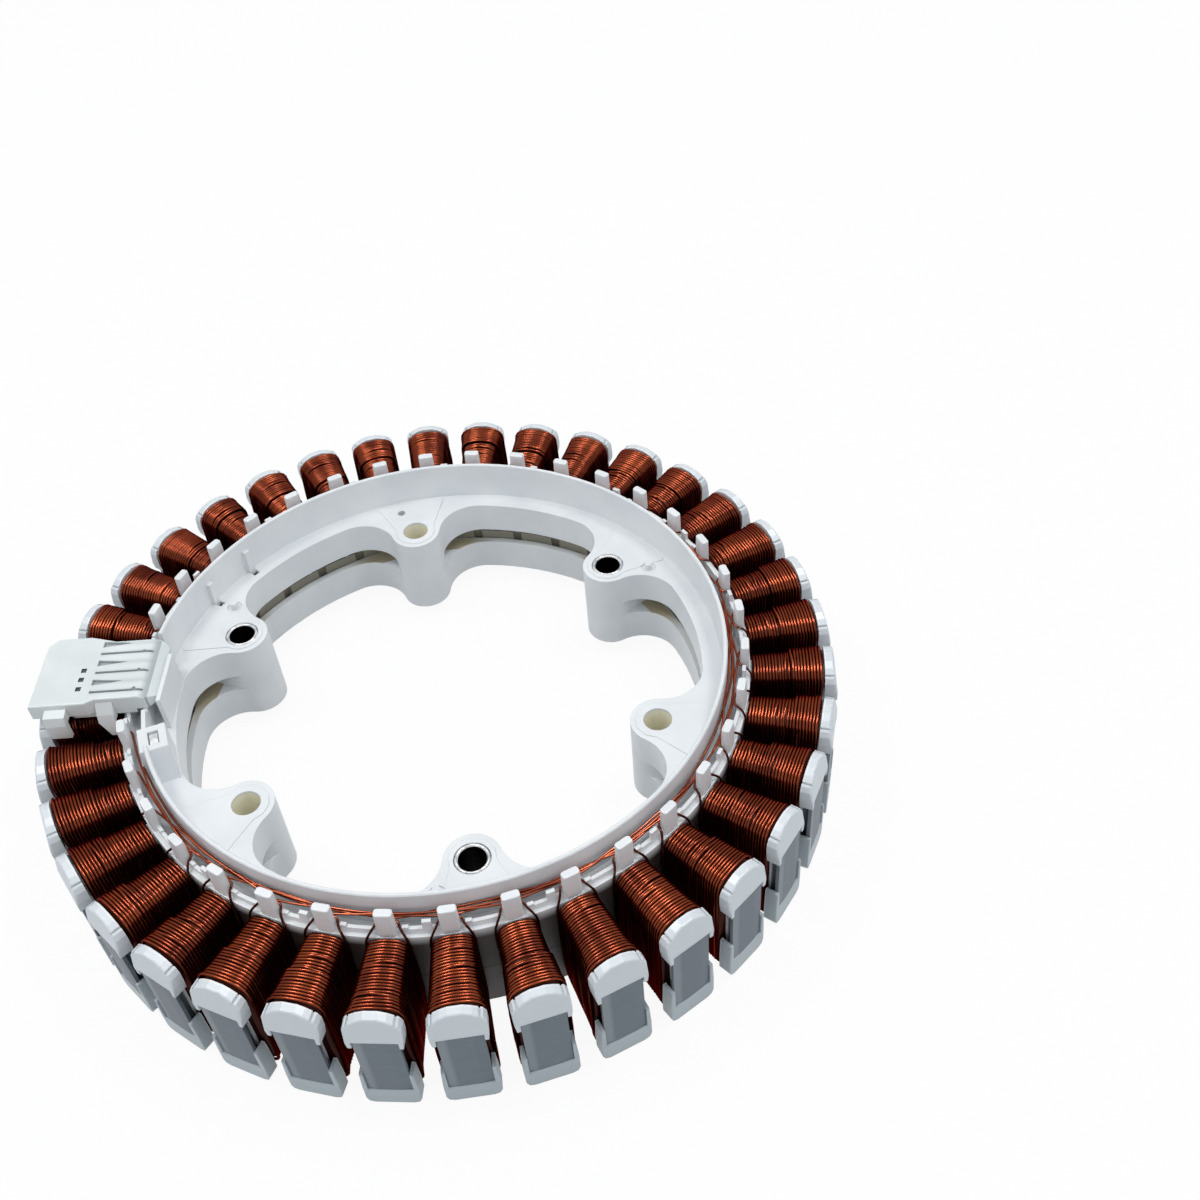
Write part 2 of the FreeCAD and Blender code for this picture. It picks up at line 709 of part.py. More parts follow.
def add_splice_block(body):
    """The block on the shelf whose pocket holds the star point splice."""
    side = start_sketch(body, "block_outline", "YZ_Plane", lift="block_inner", turn="block_turn")
    top = f"{SHELF} + block_rise"
    add_outline(side, [
        ("-block_half_width", SHELF), ("block_half_width + block_ramp", SHELF),
        ("block_half_width", top), ("-block_half_width", top),
    ])
    pad(body, side, "block_outer - block_inner", "splice_block")
    doc.recompute()
    hole = start_sketch(body, "block_pocket_outline", lift=f"{top} - block_pocket_depth", turn="block_turn")
    across = "block_pocket / 2"
    along = "block_pocket_length / 2"
    add_rectangle(hole, f"block_pocket_radius - {across}", f"block_pocket_radius + {across}",
                  f"-{along}", along)
    pocket(body, hole, "block_pocket_depth + overrun", "block_pocket", reverse=True)


def make_upper_ring():
    """The shelf with its lugs, wall, rail and everything that stands on it."""
    body = start_body("upper_ring")
    add_upper_ring(body)
    add_hooks(body)
    add_lug_contour(body, SHELF_FOOT, "skirt_drop", "lug")
    add_lug_bosses(body, "lug_joint", f"{SHELF} - lug_joint")
    add_lug_faces(body)
    cut_lug_bores(body, "lug_joint - overrun", f"{SHELF} + pad_step - lug_joint + 2 * overrun")
    add_locating_details(body)
    add_snap_ribs(body)
    seat_housing(body)
    add_clip_plate(body)
    add_splice_block(body)
    return body


def make_upper_teeth():
    """The slot linings and tooth caps, one unit for each tooth."""
    body = start_body("upper_teeth")
    low = f"{MID_JOINT} + joint_gap / 2"
    add_unit_flange(body, low, FLANGE_TOP)
    add_saddle(body, [
        (CORE_FIT_HALF, CORE_TOP), (CORE_FIT_HALF, low), (SADDLE_HALF, low),
        (SADDLE_HALF, f"{CROWN_TOP} - crown_shoulder"), (f"{SADDLE_HALF} - crown_shoulder", CROWN_TOP),
    ])
    add_upper_cap(body)
    add_rail_block(body)
    repeat(body, [], "tooth_count", "tooth_units", whole=True)
    return body


def fuse(name, bodies):
    """One moulding from the bodies that it was drawn as."""
    doc.recompute()
    moulding = doc.addObject("Part::MultiFuse", name)
    moulding.Label = name
    moulding.Shapes = bodies
    moulding.Refine = False
    return moulding


# Upper insulator: shelf, lugs, wall, wire channel, rail, posts, saddles and tooth caps in one moulding.
def make_upper_insulator():
    return fuse("upper_insulator", [make_upper_ring(), make_upper_teeth(), make_posts("upper")])


def add_lower_cap(body):
    """The foot of each tooth's end, with tabs up both sides of its shoe."""
    outline = start_sketch(body, "foot_cap_outline", "YZ_Plane", lift="cap_back")
    inner = "shoe_width / 2 + slip_gap"
    tab_top = "core_lift + foot_tab_rise"
    corner = "foot_cap_round * (1 - cos(45 deg))"
    add_mirrored(outline, [
        (inner, "core_lift"), (inner, tab_top), (f"{inner} + tab_width", tab_top),
        ("foot_cap_half_width", "core_lift + cap_side_rise"), ("foot_cap_half_width", "foot_cap_round"),
        (f"foot_cap_half_width - {corner}", corner),
        ("foot_cap_half_width - foot_cap_round", "0"),
    ])
    pad(body, outline, f"{CAP_FRONT} - cap_back", "foot_cap")
    front = value(CAP_FRONT)
    side = value("core_lift + cap_side_rise") + SAME
    fillet(body, "edge_round", "foot_cap_front",
           lambda edge: ends_at(edge, lambda point: abs(point.x - front) < SAME and point.z < side))


def make_lower_teeth():
    """The lower slot linings and the feet of the teeth."""
    body = start_body("lower_teeth")
    high = f"{MID_JOINT} - joint_gap / 2"
    add_unit_flange(body, "core_lift - floor_wall - foot_flange_drop", high)
    add_saddle(body, [
        (CORE_FIT_HALF, "core_lift"), (CORE_FIT_HALF, high), (SADDLE_HALF, high),
        (SADDLE_HALF, f"{CROWN_FOOT} + foot_crown_rise"), (f"{SADDLE_HALF} - foot_crown_rise", CROWN_FOOT),
    ])
    add_lower_cap(body)
    repeat(body, [], "tooth_count", "tooth_units", whole=True)
    return body


def make_lower_ring():
    """The lower floor, skirt and lugs."""
    body = start_body("lower_ring")
    floor = start_sketch(body, "floor_section", "XZ_Plane")
    add_rectangle(floor, f"{SKIRT_BACK} - overlap", "rail_outer", "core_lift - floor_wall", "core_lift")
    revolve(body, floor, "floor")
    add_lug_contour(body, "lower_skirt_foot", "lower_skirt_top - lower_skirt_foot", "lug")
    add_lug_bosses(body, "lower_skirt_foot", "lug_joint - lower_skirt_foot")
    cut_lug_bores(body, "lower_skirt_foot - overrun", "lug_joint - lower_skirt_foot + 2 * overrun")
    return body


# Lower insulator: the other half of the lining, with the feet that the stator rests on.
def make_lower_insulator():
    return fuse("lower_insulator", [make_lower_ring(), make_lower_teeth()])


# Steel bushes pressed into every second lug.
def make_bushes():
    body = start_body("mounting_bushes")
    body.AllowCompound = True
    tube = start_sketch(body, "bush_outline", lift="lower_skirt_foot", turn="lug_turn")
    add_circle(tube, "bush_outer", "lug_circle")
    add_circle(tube, "bush_bore", "lug_circle")
    one = pad(body, tube, f"{SHELF} + pad_step - lower_skirt_foot", "bush")
    fillet(body, "edge_round", "bush_edges", lambda edge: edge.BoundBox.ZLength < 0.01,
           "PartDesign::Chamfer", "Size")
    repeat(body, [], "lug_count / 2", "bushes", whole=True)
    return body


HOUSING_AXIS = "first_tooth_turn + housing_turn"
HOUSING_FOOT = "(housing_top - housing_depth)"
ROOF = "(housing_top - housing_wall)"


# Connector housing: a shallow cover over two teeth, with a sensor leg down into the next slot.
def make_housing():
    body = start_body("connector_housing", HOUSING_AXIS)
    outline = start_sketch(body, "housing_outline", lift=HOUSING_FOOT)
    waist = "(housing_near - housing_wall)"
    add_outline(outline, [
        ("housing_outer", "-housing_far + housing_corner"), ("housing_outer", "housing_near"),
        ("near_step_outer", "housing_near"), ("near_step_inner", waist),
        ("housing_inner + housing_corner", waist), ("housing_inner", f"{waist} - housing_corner"),
        ("housing_inner", "-housing_waist + housing_wall"), ("housing_inner + housing_wall", "-housing_waist"),
        ("far_step_inner", "-housing_waist"), ("far_step_outer", "-housing_far"),
        ("housing_outer - housing_corner", "-housing_far"),
    ])
    pad(body, outline, "housing_depth", "housing")
    leg = start_sketch(body, "leg_outline", "YZ_Plane", lift="leg_inner")
    inside = "leg_reach + leg_lean - leg_width"
    add_outline(leg, [
        (waist, ROOF), ("leg_reach", f"{ROOF} - housing_wall / 2"),
        ("leg_reach + 2 * leg_lean", HOUSING_FOOT), ("leg_reach + leg_lean", f"{HOUSING_FOOT} - leg_drop"),
        (inside, f"{HOUSING_FOOT} - leg_drop"), (inside, HOUSING_FOOT), (waist, HOUSING_FOOT),
    ])
    pad(body, leg, "leg_outer - leg_inner", "sensor_leg")
    add_near_skirt(body, waist)
    round_nose(body)
    doc.recompute()
    fillet(body, "housing_round", "housing_edges", flat_at("housing_top"))
    doc.recompute()
    hollow = start_sketch(body, "hollow_outline", lift=HOUSING_FOOT)
    add_rectangle(hollow, "hollow_inner", "housing_outer - housing_wall",
                  "-housing_waist + housing_wall", f"{waist} - housing_wall")
    pocket(body, hollow, "housing_depth - housing_wall", "hollow", reverse=True)
    cut_housing_top(body)
    return body


def add_near_skirt(body, waist):
    """The near side's deeper skirt over the coil, with a second foot down beside the coil."""
    low = start_sketch(body, "low_skirt_outline", lift="skirt_low")
    inside = f"{waist} - housing_wall"
    add_rectangle(low, "foot_inner", "leg_inner", inside, waist)
    pad(body, low, f"{HOUSING_FOOT} - skirt_low", "low_skirt")
    inner = start_sketch(body, "inner_skirt_outline", lift="skirt_low + skirt_lift")
    add_rectangle(inner, "nose_start + housing_wall", "foot_inner", inside, waist)
    pad(body, inner, f"{HOUSING_FOOT} - skirt_low - skirt_lift", "inner_skirt")
    foot = start_sketch(body, "foot_outline", "YZ_Plane", lift="foot_inner")
    add_outline(foot, [
        (inside, ROOF), (waist, ROOF), ("foot_shoulder", HOUSING_FOOT), ("foot_reach", "foot_level"),
        ("foot_reach - foot_width", "foot_level"), ("foot_reach - foot_width - foot_lean", "skirt_low"),
        (inside, "skirt_low"),
    ])
    pad(body, foot, "foot_outer - foot_inner", "second_foot")
    slope = start_sketch(body, "foot_slope_outline", "XZ_Plane")
    add_outline(slope, [
        ("foot_outer + overrun", "skirt_low"), ("foot_outer", "skirt_low"), ("foot_toe", "foot_level"),
        ("foot_toe", "foot_level - overrun"), ("foot_outer + overrun", "foot_level - overrun"),
    ])
    cut_across(body, slope, "foot_slope")


def round_nose(body):
    """The inner end of the top, falling in two steps towards the clip plate."""
    nose = start_sketch(body, "nose_outline", "XZ_Plane")
    add_outline(nose, [
        ("nose_start", "housing_top"), ("(nose_start + housing_inner) / 2", "housing_top - nose_first_drop"),
        ("housing_inner", "housing_top - nose_drop"), ("housing_inner - overrun", "housing_top - nose_drop"),
        ("housing_inner - overrun", "housing_top + overrun"), ("nose_start", "housing_top + overrun"),
    ])
    cut_across(body, nose, "nose")


def cut_across(body, sketch, name):
    """A cut through the whole width of the housing."""
    cut = pocket(body, sketch, "4 * leg_reach", name)
    cut.Midplane = True
    return cut


def cut_housing_top(body):
    """Tapering and long grooves, pin holes and three small windows in the housing's top."""
    wedge = start_sketch(body, "wedge_outlines", lift="housing_top")
    line = start_sketch(body, "long_groove_outlines", lift="housing_top")
    for index in range(3):
        middle = f"(groove_from + {2 * index} * groove_spacing)"
        add_outline(wedge, [
            ("groove_start", f"{middle} - groove_width / 2"), ("groove_start", f"{middle} + groove_width / 2"),
            ("groove_start - groove_length", middle),
        ])
        beside = f"(groove_from + {2 * index + 1} * groove_spacing)"
        add_rectangle(line, "groove_start - long_groove_length", "groove_start",
                      f"{beside} - long_groove_width / 2", f"{beside} + long_groove_width / 2")
    pocket(body, wedge, "groove_depth", "wedges")
    pocket(body, line, "groove_depth", "long_grooves")
    holes = start_sketch(body, "pin_hole_outlines", lift="housing_top")
    windows = start_sketch(body, "window_outlines", lift="housing_top")
    half = "window_size / 2"
    for index in range(3):
        add_circle(holes, "pin_hole", "pin_hole_radius", f"pin_from + {index} * pin_spacing")
        middle = f"(window_from + {index} * window_spacing)"
        add_rectangle(windows, f"window_radius - {half}", f"window_radius + {half}",
                      f"{middle} - {half}", f"{middle} + {half}")
    pocket(body, holes, "housing_wall / 2", "pin_holes")
    pocket(body, windows, "groove_depth / 2", "windows")


# Board under the housing's roof that carries the position sensors.
def make_board():
    body = start_body("sensor_board", HOUSING_AXIS)
    outline = start_sketch(body, "board_outline", lift=f"{ROOF} - board_gap - board_thickness")
    add_rectangle(outline, "board_inner", "board_outer", "-board_half_width", "board_half_width")
    pad(body, outline, "board_thickness", "board")
    return body


def make_sensors():
    body = start_body("position_sensors", HOUSING_AXIS)
    body.AllowCompound = True
    outline = start_sketch(body, "sensor_outlines", lift=f"{ROOF} - board_gap - board_thickness - sensor_depth")
    for index in (-1, 0, 1):
        middle = f"({index} * sensor_spacing)"
        add_rectangle(outline, "board_outer - 2 * sensor_size", "board_outer - sensor_size",
                      f"{middle} - sensor_size / 2", f"{middle} + sensor_size / 2")
    pad(body, outline, "sensor_depth", "sensors")
    return body


# Three blades that hang from the housing's roof down into the wire channel.
def make_terminals():
    body = start_body("power_terminals", HOUSING_AXIS)
    body.AllowCompound = True
    outline = start_sketch(body, "terminal_outlines", lift=f"{ROOF} - terminal_length")
    half = "terminal_thickness / 2"
    for index in range(3):
        middle = f"(pin_from + {index} * pin_spacing)"
        add_rectangle(outline, "terminal_inner", "terminal_inner + terminal_width",
                      f"{middle} - {half}", f"{middle} + {half}")
    pad(body, outline, "terminal_length", "terminals")
    return body


# Star point splice: a pressed metal block in the splice block's pocket.
def make_splice():
    body = start_body("star_point_splice")
    foot = f"{SHELF} + block_rise - block_pocket_depth"
    outline = start_sketch(body, "splice_outline", lift=foot, turn="block_turn")
    across = "(block_pocket / 2 - splice_gap)"
    along = "(block_pocket_length / 2 - splice_gap)"
    add_rectangle(outline, f"block_pocket_radius - {across}", f"block_pocket_radius + {across}",
                  f"-{along}", along)
    pad(body, outline, "block_pocket_depth - 2 * splice_gap", "splice")
    return body


# Wires laid in the channel from the terminals nearly all the way round the ring.
def make_channel_wires():
    wires = []
    names = ("phase_wire_u", "phase_wire_v", "phase_wire_w", "star_point_wire")
    for index, name in enumerate(names):
        turn = "first_tooth_turn + wire_start_turn + wire_sweep / 2"
        body = start_body(name, turn)
        section = start_sketch(body, "wire_section", "XZ_Plane")
        side = "+" if index % 2 else "-"
        level = f"{SHELF} + channel_rise + wire_level + {index} * wire_spacing"
        add_circle(section, "wire_radius", f"wire_circle {side} wire_stagger", level)
        revolve(body, section, "wire", "wire_sweep")
        wires.append(body)
    return wires


def rounded_face(place, half_width, low, high, corner):
    """A flat rounded rectangle across the tooth at a radius."""
    inset_y = half_width - corner
    points = []
    arcs = []
    for y_side, z_side, start in ((1, 1, 0), (-1, 1, 90), (-1, -1, 180), (1, -1, 270)):
        middle_z = high - corner if z_side > 0 else low + corner
        middle = vector(place, y_side * inset_y, middle_z)
        ends = []
        for turn in (start, start + 45, start + 90):
            angle = math.radians(turn)
            ends.append(middle + vector(0, math.cos(angle), math.sin(angle)) * corner)
        arcs.append(Part.Arc(*ends).toShape())
        points.append((ends[0], ends[2]))
    edges = []
    for index, rounding in enumerate(arcs):
        edges.append(rounding)
        edges.append(Part.LineSegment(points[index][1], points[(index + 1) % 4][0]).toShape())
    return Part.Face(Part.Wire(edges))


def one_turn(place, pitch, half_width, low, high, corner, bevel):
    """One turn of wire as a rounded slab with both rims bevelled."""
    slab = rounded_face(place, half_width, low, high, corner).extrude(vector(pitch, 0, 0))
    rims = [edge for edge in slab.Edges if edge.BoundBox.XLength < SAME]
    return slab.makeChamfer(bevel, rims)


def coil_lead(side):
    """A lead from the innermost turn, up beside the post and over the rail into the channel."""
    radius = value("lead_radius")
    across = side * value("lead_side")
    start = value("flange_outer + end_gap") + radius
    crown = value(CROWN_TOP)
    lifted = value(f"{RAIL_TOP} + lead_lift")
    rail = value("rail_inner - lead_rail_gap") - radius
    route = [
        vector(start, across, crown), vector(start, across, lifted - value("lead_bend")),
        vector(start - value("lead_lean"), across, lifted),
        vector(rail + value("lead_hook"), across, lifted), vector(rail, across, lifted - value("lead_dip")),
    ]
    pieces = [Part.makeSphere(radius, point) for point in route[1:]]
    for begin, end in zip(route, route[1:]):
        pieces.append(Part.makeCylinder(radius, (end - begin).Length, begin, end - begin))
    return pieces


# Winding of one tooth: a stack of turns that builds up towards the tooth's face.
def winding_shape():
    start = value("flange_outer + end_gap")
    count = int(value("turn_count"))
    pitch = (value("cap_back - end_gap") - start) / count
    half = value(f"{SADDLE_HALF} + coil_gap")
    low = value(f"{CROWN_FOOT} - coil_gap")
    high = value(f"{CROWN_TOP} + coil_gap")
    corner = value("bore_corner")
    inner = value("inner_build")
    growth = value("outer_build") - inner
    bevel = value("wire_round")
    turns = []
    for index in range(count):
        build = inner + growth * index / (count - 1)
        place = start + index * pitch
        turns.append(one_turn(place, pitch, half + build, low - build, high + build, corner + build, bevel))
    winding = turns[0].multiFuse(turns[1:]).removeSplitter()
    overrun = value("overrun")
    bore = rounded_face(start - overrun, half, low, high, corner)
    bore = bore.extrude(vector(count * pitch + 2 * overrun, 0, 0))
    return winding.cut(bore)


# Coils: the one winding round each tooth, with two leads wherever the tooth has a post.
def make_coils():
    winding = winding_shape()
    led_winding = winding.multiFuse(coil_lead(1) + coil_lead(-1))
    posts = value("post_count * tooth_pitch")
    coils = []
    for index in range(int(value("tooth_count"))):
        coil = doc.addObject("Part::Feature", f"coil_{index + 1:02d}")
        coil.Label = f"coil_{index + 1:02d}"
        around = index * value("tooth_pitch")
        has_post = (around - value("first_post_turn")) % 360 < posts
        coil.Shape = led_winding if has_post else winding
        turn = value("first_tooth_turn") + around
        coil.Placement = FreeCAD.Placement(vector(0, 0, 0), FreeCAD.Rotation(vector(0, 0, 1), turn))
        coils.append(coil)
    return coils


pieces = []
for maker in (make_core, make_upper_insulator, make_lower_insulator, make_bushes, make_housing, make_board,
              make_sensors, make_terminals, make_splice, make_channel_wires, make_coils):
    made = maker()
    pieces.extend(made if isinstance(made, list) else [made])
    doc.recompute()

faulty = [thing.Name for thing in doc.Objects if {"Invalid", "Error"} & set(thing.State)]
faulty += [piece.Label for piece in pieces if piece.Shape.isNull() or not piece.Shape.isValid()]
if faulty:
    raise ValueError(f"these did not build: {faulty}")

os.makedirs("parts", exist_ok=True)
for piece in pieces:
    piece.Shape.exportStep(f"parts/{piece.Label}.step")
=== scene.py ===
import random
from math import cos, pi, radians, sin

import bmesh
import bpy
from mathutils import Matrix, Vector


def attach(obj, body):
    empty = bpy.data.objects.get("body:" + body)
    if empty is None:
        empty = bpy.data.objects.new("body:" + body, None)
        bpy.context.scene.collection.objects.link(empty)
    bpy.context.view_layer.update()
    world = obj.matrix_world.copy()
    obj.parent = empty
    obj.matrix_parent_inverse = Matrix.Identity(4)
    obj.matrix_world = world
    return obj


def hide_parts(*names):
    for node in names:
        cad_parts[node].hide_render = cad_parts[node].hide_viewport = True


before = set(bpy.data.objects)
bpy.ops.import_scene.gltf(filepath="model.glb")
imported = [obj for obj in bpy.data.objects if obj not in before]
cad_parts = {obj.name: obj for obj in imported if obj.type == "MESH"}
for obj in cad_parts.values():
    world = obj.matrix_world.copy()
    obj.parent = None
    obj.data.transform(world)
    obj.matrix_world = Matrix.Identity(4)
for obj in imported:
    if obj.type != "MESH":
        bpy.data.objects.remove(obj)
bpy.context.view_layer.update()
mm = 0.001  # lengths are in millimetres, but for the studio's, which are in metres

# A tooth lies every 10 degrees from the first; distances along it, across it and up are r, t and z.
ring = {"teeth": 36, "firstTooth": 5.0, "step": 10.0}


def onTooth(degrees, r, t, z):
    turned = Matrix.Rotation(radians(degrees), 3, "Z") @ Vector((r, t, z))
    return turned * mm


def onRing(degrees, r, z):
    return onTooth(degrees, r, 0, z)


# Materials: a wrapped socket that takes + - and *, and a paint that makes nodes
class Flow:
    def __init__(self, paint, socket):
        self.paint = paint
        self.socket = socket

    def __add__(self, other):
        return self.paint.maths("ADD", self, other)

    __radd__ = __add__

    def __sub__(self, other):
        return self.paint.maths("SUBTRACT", self, other)

    def __rsub__(self, other):
        return self.paint.maths("SUBTRACT", other, self)

    def __mul__(self, other):
        return self.paint.maths("MULTIPLY", self, other)

    __rmul__ = __mul__

    def above(self, edge):
        return self.paint.maths("GREATER_THAN", self, edge)

    def between(self, low, high):
        # a slope from 0 at low to 1 at high
        return self.paint.node("ShaderNodeMapRange", {}, {0: self, 1: low, 2: high, 3: 0.0, 4: 1.0})


class Paint:
    def __init__(self, name, world=None):
        self.material = world or bpy.data.materials.new(name)
        self.material.use_nodes = True
        self.tree = self.material.node_tree
        self.tree.nodes.clear()
        self.place = self.node("ShaderNodeTexCoord", {}, {}, "Object")

    def node(self, kind, settings, inputs, output=0):
        made = self.tree.nodes.new(kind)
        for key, value in settings.items():
            setattr(made, key, value)
        for key, value in inputs.items():
            if isinstance(value, Flow):
                self.tree.links.new(value.socket, made.inputs[key])
            else:
                made.inputs[key].default_value = value
        return Flow(self, made.outputs[output])

    def maths(self, operation, first, second=0.0):
        return self.node("ShaderNodeMath", {"operation": operation}, {0: first, 1: second})

    def measure(self, operation, first, second=(0, 0, 0)):
        return self.node("ShaderNodeVectorMath", {"operation": operation}, {0: first, 1: second}, "Value")

    def stretched(self, scale):
        inputs = {"Vector": self.place, "Scale": scale}
        return self.node("ShaderNodeMapping", {"vector_type": "POINT"}, inputs)

    def solidPlace(self):
        # the object coordinates in millimetres
        return self.stretched((1 / mm, 1 / mm, 1 / mm))

    def flatPlace(self):
        # the same without the height
        return self.stretched((1 / mm, 1 / mm, 0))

    def axis(self, letter):
        return self.node("ShaderNodeSeparateXYZ", {}, {0: self.solidPlace()}, letter)

    def radius(self):
        return self.measure("LENGTH", self.flatPlace())

    def angle(self):
        return self.maths("ARCTAN2", self.axis("Y"), self.axis("X"))

    def noise(self, scale, detail=2.0, where=None):
        inputs = {"Vector": where or self.place, "Scale": scale, "Detail": detail}
        return self.node("ShaderNodeTexNoise", {}, inputs, "Fac")

    def blend(self, factor, first, second):
        first, second = [(*c, 1.0) if isinstance(c, tuple) else c for c in (first, second)]
        return self.node("ShaderNodeMix", {"data_type": "RGBA"}, {0: factor, 6: first, 7: second}, 2)

    def rounded(self, radius):
        return self.node("ShaderNodeBevel", {"samples": 4}, {"Radius": radius * mm})

    def bump(self, height, strength, distance, under=None):
        inputs = {"Height": height, "Strength": strength, "Distance": distance * mm}
        if under:
            inputs["Normal"] = under
        return self.node("ShaderNodeBump", {}, inputs)

    def finish(self, inputs):
        self.output(self.node("ShaderNodeBsdfPrincipled", {}, inputs))
        return self.material

    def output(self, shader, kind="ShaderNodeOutputMaterial"):
        out = self.tree.nodes.new(kind)
        self.tree.links.new(shader.socket, out.inputs["Surface"])


def repaint(material, *names):
    for name in names:
        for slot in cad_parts[name].material_slots:
            slot.material = material


plastic = {
    "white": (0.80, 0.82, 0.83), "shade": (0.74, 0.765, 0.785),
    "stain": (0.52, 0.53, 0.52), "stainShare": 0.10,
    "housing": (0.74, 0.785, 0.785), "housingShade": (0.68, 0.725, 0.72),
    "cloud": 60, "speck": 900, "grain": 4200, "edge": 0.3, "rough": 0.42, "gloss": 0.42,
    # painted shade: the teeth's ends at the caps and feet darker, out of the light from above
    "cap": (0.67, 0.715, 0.745), "foot": (0.44, 0.50, 0.53), "outerFrom": 128.5,
    # painted shade: the dark brown on the walls between the coils
    "slot": (0.042, 0.028, 0.022), "slotFrom": 103.0, "slotTo": 127.5, "slotTop": 40.8, "slotFloor": 37.0,
    # painted shade: the beige on the ledge in the gap, shade lit warm by the coils
    "ledgeShade": (0.47, 0.41, 0.28), "ledgeFrom": 84.5, "ledgeTo": 90.5, "ledgeLow": 17.3, "ledgeHigh": 17.8,
    "lugs": 6.0, "ledgeEnd": -0.45, "ledgeFull": 0.25,
    "bore": (0.93, 0.90, 0.74), "boreAt": (90, 210, 330),
    "boreCircle": 76.4, "boreRadius": 5.2, "boreTop": 35.5,
}


def mouldedPlastic(name, light, dark, addShades, tone):
    # addShades is the function that paints one moulding's painted shade and marks, and tone is the colour of
    # its main painted shade
    p = plastic
    paint = Paint(name)
    cloud = paint.noise(p["cloud"], 3)
    speck = paint.noise(p["speck"], 2)
    grain = paint.noise(p["grain"], 1)
    colour = paint.blend(cloud.between(0.35, 0.65), dark, light)
    colour = paint.blend(speck.between(0.70, 0.80) * p["stainShare"], colour, p["stain"])
    colour = addShades(paint, colour, tone)
    rough = p["rough"] + (cloud - 0.5) * 0.25
    normal = paint.bump(grain, 0.12, 0.08, paint.rounded(p["edge"]))
    return paint.finish({
        "Base Color": colour, "Roughness": rough, "Normal": normal, "Specular IOR Level": p["gloss"],
    })


def shadedTeeth(paint, colour, outer):
    # painted shade: dark walls between the coils, the teeth's ends in the darker colour outer and a beige
    # ledge lit warm by the coils; and plain bores
    p = plastic
    height = paint.axis("Z")
    radius = paint.radius()
    flat = paint.flatPlace()
    # painted shade: the walls between the coils dark where the coils shade them
    shadeBetweenCoils = radius.above(p["slotFrom"]) * (1 - radius.above(p["slotTo"]))
    shadeBetweenCoils = shadeBetweenCoils * (1 - height.between(p["slotFloor"], p["slotTop"]))
    colour = paint.blend(shadeBetweenCoils, colour, p["slot"])
    # painted shade: the teeth's ends darker, out of the light from above
    colour = paint.blend(radius.above(p["outerFrom"]), colour, outer)
    # painted shade: a beige ledge in the gap, shade lit warm by the coils
    ledgeShade = height.above(p["ledgeLow"]) * (1 - height.above(p["ledgeHigh"]))
    ledgeShade = ledgeShade * radius.above(p["ledgeFrom"]) * (1 - radius.above(p["ledgeTo"]))
    fromLug = paint.maths("COSINE", paint.angle() * p["lugs"] + pi)
    ledgeShade = ledgeShade * fromLug.between(p["ledgeEnd"], p["ledgeFull"])
    colour = paint.blend(ledgeShade, colour, p["ledgeShade"])
    for degrees in p["boreAt"]:
        away = paint.measure("DISTANCE", flat, onRing(degrees, p["boreCircle"], 0) / mm)
        inside = (1 - away.above(p["boreRadius"])) * (1 - height.above(p["boreTop"]))
        colour = paint.blend(inside, colour, p["bore"])
    return colour


recess = {
    "turn": 170, "inner": 93.0, "outer": 112.2, "far": -11.1, "near": 14.7, "floor": 50.8, "top": 51.6,
    # painted shade: the grey in and along the grooves
    "grooveShade": (0.36, 0.40, 0.415), "softShare": 0.4, "deepShare": 0.9,
    "firstGroove": 9.9, "apart": 2.15, "soft": 1.6,
    "square": (0.075, 0.085, 0.10), "squares": 3, "halfLength": 0.9, "halfWidth": 0.95,
    "squareAt": 116.0, "firstSquare": 1.65, "squareStep": 4.1,
}


def alongAndAcross(paint):
    # distances along the housing's middle line and across it
    turn = radians(recess["turn"])
    place = paint.solidPlace()
    directions = ((cos(turn), sin(turn), 0), (-sin(turn), cos(turn), 0))
    return [paint.measure("DOT_PRODUCT", place, way) for way in directions]


def shadedRecesses(paint, colour, grooveShade):
    # painted shade in the grooves in the housing's top, darker the deeper they are, with a soft edge, and
    # three dark squares
    along, across = alongAndAcross(paint)
    height = paint.axis("Z")
    inside = along.above(recess["inner"]) * (1 - along.above(recess["outer"]))
    inside = inside * across.above(recess["far"]) * (1 - across.above(recess["near"]))
    deep = 1 - height.between(recess["floor"], recess["top"])
    line = paint.maths("PINGPONG", across + recess["firstGroove"], recess["apart"])
    soft = 1 - line.between(0.0, recess["soft"])
    # painted shade: soft grey bands along the grooves and darker groove floors
    colour = paint.blend(inside * soft * recess["softShare"], colour, grooveShade)
    colour = paint.blend(inside * deep * recess["deepShare"], colour, grooveShade)
    beside = paint.maths("ABSOLUTE", along - recess["squareAt"])
    for index in range(recess["squares"]):
        middle = recess["firstSquare"] + index * recess["squareStep"]
        away = paint.maths("ABSOLUTE", across - middle)
        square = (1 - away.above(recess["halfWidth"])) * (1 - beside.above(recess["halfLength"]))
        colour = paint.blend(square * height.above(recess["floor"]), colour, recess["square"])
    return colour


copper = {
    "dark": (0.100, 0.018, 0.008), "light": (0.215, 0.046, 0.018), "rough": 0.22,
    # painted shade: the under layer's dark copper stands for the shade between the turns
    "deepDark": (0.030, 0.007, 0.005), "deepLight": (0.060, 0.014, 0.009), "deepRough": 0.55,
    "jumperDark": (0.15, 0.032, 0.016), "jumperLight": (0.30, 0.080, 0.040), "jumperRough": 0.3,
    "edge": (0.45, 0.13, 0.07, 1), "coat": 0.12, "coatRough": 0.15,
    # painted shade for the wire: nearly black with faint lighter threads
    "shadedWire": (0.040, 0.009, 0.006), "shadedThread": (0.150, 0.050, 0.036), "sideTop": 41.2, "sideFoot": 36.8,
    "coverFar": -12.5, "coverNear": 16.5, "leadFrom": 100.0, "leadTo": 101.4,
}


